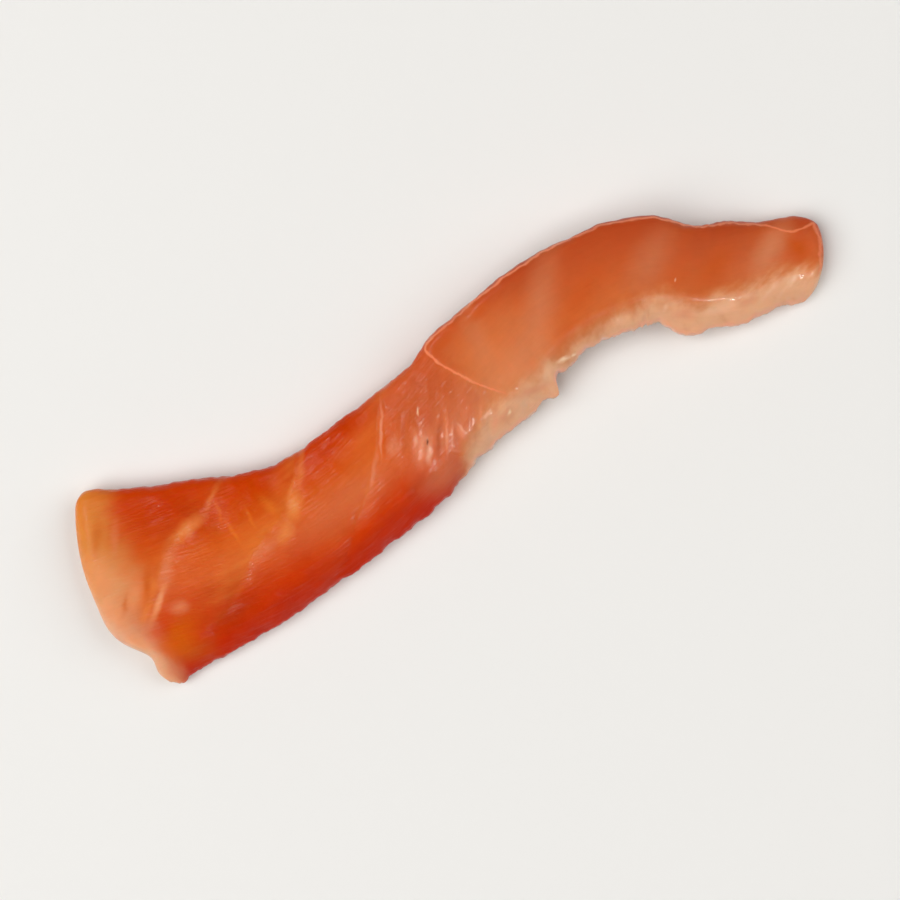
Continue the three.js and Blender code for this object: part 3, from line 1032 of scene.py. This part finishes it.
def fleshMaterial():
    material = bpy.data.materials.new("moistSalmonFlesh")
    tree = clearNodes(material)
    place = readAttribute(tree, "stripPlace", "Vector")
    parts = addNode(tree, "ShaderNodeSeparateXYZ")
    feed(tree, parts.inputs[0], place)
    along = parts.outputs[0]
    down = parts.outputs[2]
    side = readAttribute(tree, "side")
    pressed = readAttribute(tree, "pressed")
    creased = readAttribute(tree, "creased")
    objectPlace = addNode(tree, "ShaderNodeTexCoord").outputs["Object"]
    bentPlace = waver(tree, readAttribute(tree, "bentPlace", "Vector"), **flesh["strokeWaver"])

    broad = grain(tree, place, **noises["broad"])
    medium = grain(tree, place, **noises["medium"])
    small = grain(tree, place, **noises["small"])
    fibres = grain(tree, place, **noises["fibres"])
    threads = grain(tree, place, **noises["threads"])
    drawnOut = grain(tree, place, **noises["drawnOut"])
    fatMottle = grain(tree, place, **noises["fatMottle"])
    upright = grain(tree, objectPlace, **noises["upright"])

    # the tones give way to each other down the strip
    wavySide = roughened(tree, side, *zip((broad, medium), flesh["tonesAcross"]))
    wavyAlong = roughened(tree, along, *zip((broad, medium), flesh["tonesAlong"]))
    # these tones hold painted shade at the edges and painted sheen on the crest as well as the
    # flesh's own colour
    colour = tones(tree, wavySide, flesh["endTones"])
    for name in ("left", "bend", "field", "right"):
        share = ease(tree, wavyAlong, *flesh[name + "From"])
        colour = blendColour(tree, share, colour, tones(tree, wavySide, flesh[name + "Tones"]))
    wavyPlace = waver(tree, place, **flesh["dabWaver"])
    # the dabs hold some painted sheen and painted shade as well as the flesh's tone
    colour = paintStrokes(tree, colour, wavyPlace, flesh["dabs"])

    # membranes: soft pale lines, broken in places, with fibres that fan out of some
    distance = readAttribute(tree, "membraneDistance")
    distance = roughened(tree, distance, (small, flesh["membraneRagged"]))
    reach = maths(tree, "DIVIDE", distance, readAttribute(tree, "membraneHalf"))
    core = ease(tree, reach, *ranges["membraneCore"])
    glow = ease(tree, reach, *ranges["membraneGlow"])
    line = maths(tree, "MAXIMUM", core, glow)
    line = maths(tree, "MULTIPLY", line, readAttribute(tree, "membranePale"))
    line = maths(tree, "MULTIPLY", line, ease(tree, medium, *ranges["membraneBreaks"]))
    fan = ease(tree, fibres, *ranges["fanFibres"])
    fan = maths(tree, "MULTIPLY", fan, readAttribute(tree, "fan"))
    pale = maths(tree, "MAXIMUM", line, fan)
    pale = maths(tree, "MULTIPLY", pale, ease(tree, broad, *ranges["palePatches"]))
    pale = maths(tree, "MULTIPLY", pale, ease(tree, wavySide, *ranges["paleAcross"]))
    colour = blendColour(tree, pale, colour, linearColour(flesh["membrane"]))

    # the wide end thins out, and its lower half gets a pale rim: a painted glow of light through
    # the thin edge
    endDepth = roughened(tree, along, (medium, flesh["rimGlowRagged"]))
    lower = ease(tree, side, *ranges["rimGlowAcross"])
    rim = maths(tree, "MULTIPLY", ease(tree, endDepth, *ranges["rimGlowDepth"]), lower)
    colour = blendColour(tree, rim, colour, linearColour(flesh["rimGlowPeach"]))

    # the fat along the lower edge
    inside = readAttribute(tree, "insideFat")
    inside = roughened(tree, inside, *zip((medium, small), flesh["fatRagged"]))
    inside = roughened(tree, inside, (drawnOut, ease(tree, along, *ranges["fatDrawnOut"])))
    tan = ease(tree, inside, *ranges["tan"])
    cream = ease(tree, inside, *ranges["cream"])
    colour = blendColour(tree, tan, colour, linearColour(flesh["fatTan"]))
    colour = blendColour(tree, cream, colour, linearColour(flesh["fatCream"]))
    pink = maths(tree, "MULTIPLY", ease(tree, fatMottle, *ranges["pink"]), cream)
    colour = blendColour(tree, pink, colour, linearColour(flesh["fatPink"]))
    patched = paintStrokes(tree, colour, bentPlace, flesh["fatStrokes"])
    colour = blendColour(tree, cream, colour, patched)
    # a pale line along the fat's outer edge: a painted highlight where the rounded edge catches
    # the light
    edge = readAttribute(tree, "fromFatEdge")
    edge = roughened(tree, edge, (small, flesh["fatEdgeShineRagged"]))
    edge = maths(tree, "MULTIPLY", ease(tree, edge, *ranges["fatEdge"]), cream)
    edge = maths(tree, "MULTIPLY", edge, ease(tree, medium, *ranges["fatEdgeShineBreaks"]))
    colour = blendColour(tree, edge, colour, linearColour(flesh["fatEdgeShine"]))

    # the strokes, among them painted highlights, glints and shade at the bend, and the thin moist
    # line round the flat field, a painted highlight, off the fat and the side walls
    colour = paintStrokes(tree, colour, bentPlace, flesh["strokes"])
    shine = ease(tree, maths(tree, "ABSOLUTE", pressed), *ranges["moistShineLine"])
    shine = maths(tree, "MULTIPLY", shine, ease(tree, broad, *ranges["moistShineLineBreaks"]))
    shine = maths(tree, "MULTIPLY", shine, ease(tree, down, *ranges["moistShineLineDepth"]))
    shine = maths(tree, "MULTIPLY", shine, ease(tree, side, *ranges["moistShineLineAcross"]))
    colour = blendColour(tree, shine, colour, linearColour(flesh["moistShineLine"]))

    # unevenness of tone finer than all of these
    tone = addNode(tree, "ShaderNodeHueSaturation")
    value = roughened(tree, 1.0, *zip((medium, small, threads), flesh["unevenTone"]))
    feed(tree, tone.inputs["Value"], value)
    feed(tree, tone.inputs["Color"], colour)

    # wetness, and relief too fine for the mesh
    patches = maths(tree, "MULTIPLY", medium, mixes["wetPatches"])
    wet = roughened(tree, patches, (creased, mixes["wetCreases"]))
    wet = ease(tree, wet, *ranges["wet"])
    roughness = ease(tree, wet, 0.0, 1.0, flesh["roughness"], flesh["wetRoughness"])
    coated = (medium, mixes["coatPatches"]), (cream, mixes["coatOnFat"])
    moist = roughened(tree, creased, *coated)
    coat = ease(tree, moist, *ranges["coated"], flesh["dryCoat"], flesh["coat"])
    lay = maths(tree, "MULTIPLY", small, mixes["smallRelief"])
    lay = roughened(tree, lay, (fibres, mixes["fibreRelief"]), (threads, mixes["threadRelief"]))
    lay = maths(tree, "MULTIPLY", lay, ease(tree, pressed, *ranges["calm"]))
    uprightLay = maths(tree, "MULTIPLY", upright, mixes["creaseRelief"])
    lay = roughened(tree, lay, (uprightLay, creased))
    relief = addNode(tree, "ShaderNodeBump")
    relief.inputs["Strength"].default_value = flesh["reliefStrength"]
    relief.inputs["Distance"].default_value = flesh["reliefDepth"]
    feed(tree, relief.inputs["Height"], lay)

    skin = addNode(tree, "ShaderNodeBsdfPrincipled")
    feed(tree, skin.inputs["Base Color"], tone.outputs[0])
    feed(tree, skin.inputs["Roughness"], roughness)
    feed(tree, skin.inputs["Normal"], relief.outputs[0])
    feed(tree, skin.inputs["Coat Normal"], relief.outputs[0])
    skin.inputs["Specular IOR Level"].default_value = flesh["specular"]
    skin.inputs["Subsurface Weight"].default_value = flesh["subsurface"]
    skin.inputs["Subsurface Radius"].default_value = flesh["subsurfaceReach"]
    skin.inputs["Subsurface Scale"].default_value = mm
    feed(tree, skin.inputs["Coat Weight"], coat)
    skin.inputs["Coat Roughness"].default_value = flesh["coatRoughness"]
    skin.inputs["Coat IOR"].default_value = flesh["coatDensity"]
    shown = addNode(tree, "ShaderNodeOutputMaterial")
    feed(tree, shown.inputs[0], skin.outputs[0])
    return material


def makeStrip():
    spine = addSpine()
    length = spine.data.splines[0].calc_length() / mm
    piece = addSlab(length)
    print("slab:", len(piece.data.polygons), "faces,", round(length, 2), "mm long")
    sculptStrip(piece, spine, length)
    bpy.data.objects.remove(spine)
    settle(piece)
    deselectAll()
    piece.select_set(True)
    bpy.context.view_layer.objects.active = piece
    bpy.ops.object.shade_smooth()
    piece.data.materials.append(fleshMaterial())
    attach(piece, "root")
    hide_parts("salmon_strip")
    print("strip: shaped, bent and coloured")
    return piece


table = {"width": 4.0, "drop": 0.00005, "colour": (236, 234, 230), "roughness": 0.6}


def makeTable():
    deselectAll()
    bpy.ops.mesh.primitive_plane_add(size=table["width"], location=(0, 0, -table["drop"]))
    floor = bpy.context.object
    floor.name = "paleTable"
    material = bpy.data.materials.new("paleTableTop")
    tree = clearNodes(material)
    top = addNode(tree, "ShaderNodeBsdfPrincipled")
    top.inputs["Base Color"].default_value = linearColour(table["colour"])
    top.inputs["Roughness"].default_value = table["roughness"]
    shown = addNode(tree, "ShaderNodeOutputMaterial")
    feed(tree, shown.inputs[0], top.outputs[0])
    floor.data.materials.append(material)
    print("table: laid")


studio = {
    # two broad panels light the surface, and two small lamps show only in its gloss
    "panels": [
        {"name": "keyPanel", "place": (-0.55, -0.18, 0.86), "size": 1.0, "power": 11.8},
        {"name": "fillPanel", "place": (0.66, 0.24, 0.68), "size": 0.9, "power": 5.1},
    ],
    "glints": [
        {"name": "leftGlint", "place": (-0.28, 0.10, 0.46), "size": 0.06, "power": 0.6},
        {"name": "rightGlint", "place": (0.30, -0.22, 0.42), "size": 0.06, "power": 0.7},
    ],
    # the room is pale low down and dark overhead, so that the wet face keeps its colour
    "wallBrightness": 0.5,
    "ceilingBrightness": 0.003,
    "wallTop": 0.14,  # height in the sky, from 0 at the horizon to 1 overhead
    "ceilingEdge": 0.34,
    "wallColour": (250, 249, 247),
    "lens": 100,
    "sensor": 36,
    "shownWidth": 0.093,
    "nearest": 0.01,
}


def makeStudio():
    for light in studio["panels"] + studio["glints"]:
        aim = Vector((0, 0, 0)) - Vector(light["place"])
        turn = aim.to_track_quat("-Z", "Y").to_euler()
        bpy.ops.object.light_add(type="AREA", location=light["place"], rotation=turn)
        lamp = bpy.context.object
        lamp.name = light["name"]
        lamp.data.size = light["size"]
        lamp.data.energy = light["power"]
        lamp.visible_glossy = light in studio["glints"]
        lamp.visible_diffuse = light in studio["panels"]
    world = bpy.data.worlds.new("paleStudio")
    world.use_nodes = True
    tree = world.node_tree
    direction = tree.nodes.new("ShaderNodeTexCoord")
    split = tree.nodes.new("ShaderNodeSeparateXYZ")
    fade = tree.nodes.new("ShaderNodeMapRange")
    fade.inputs["From Min"].default_value = studio["wallTop"]
    fade.inputs["From Max"].default_value = studio["ceilingEdge"]
    fade.inputs["To Min"].default_value = studio["wallBrightness"]
    fade.inputs["To Max"].default_value = studio["ceilingBrightness"]
    background = tree.nodes["Background"]
    background.inputs["Color"].default_value = linearColour(studio["wallColour"])
    tree.links.new(direction.outputs["Generated"], split.inputs[0])
    tree.links.new(split.outputs[2], fade.inputs["Value"])
    tree.links.new(fade.outputs[0], background.inputs["Strength"])
    bpy.context.scene.world = world
    bpy.context.scene.view_settings.view_transform = "Standard"
    print("studio: lit")


# the camera looks straight down, as the photograph does
def makeCamera():
    low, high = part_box("salmon_strip")
    distance = studio["shownWidth"] * studio["lens"] / studio["sensor"]
    middle = ((low[0] + high[0]) / 2, (low[1] + high[1]) / 2, high[2] + distance)
    bpy.ops.object.camera_add(location=middle, rotation=(0, 0, 0))
    camera = bpy.context.object
    camera.name = "topCamera"
    camera.data.lens = studio["lens"]
    camera.data.sensor_width = studio["sensor"]
    camera.data.clip_start = studio["nearest"]
    bpy.context.scene.camera = camera
    print("camera:", round(distance, 3), "m above the strip")


makeStrip()
makeTable()
makeStudio()
makeCamera()
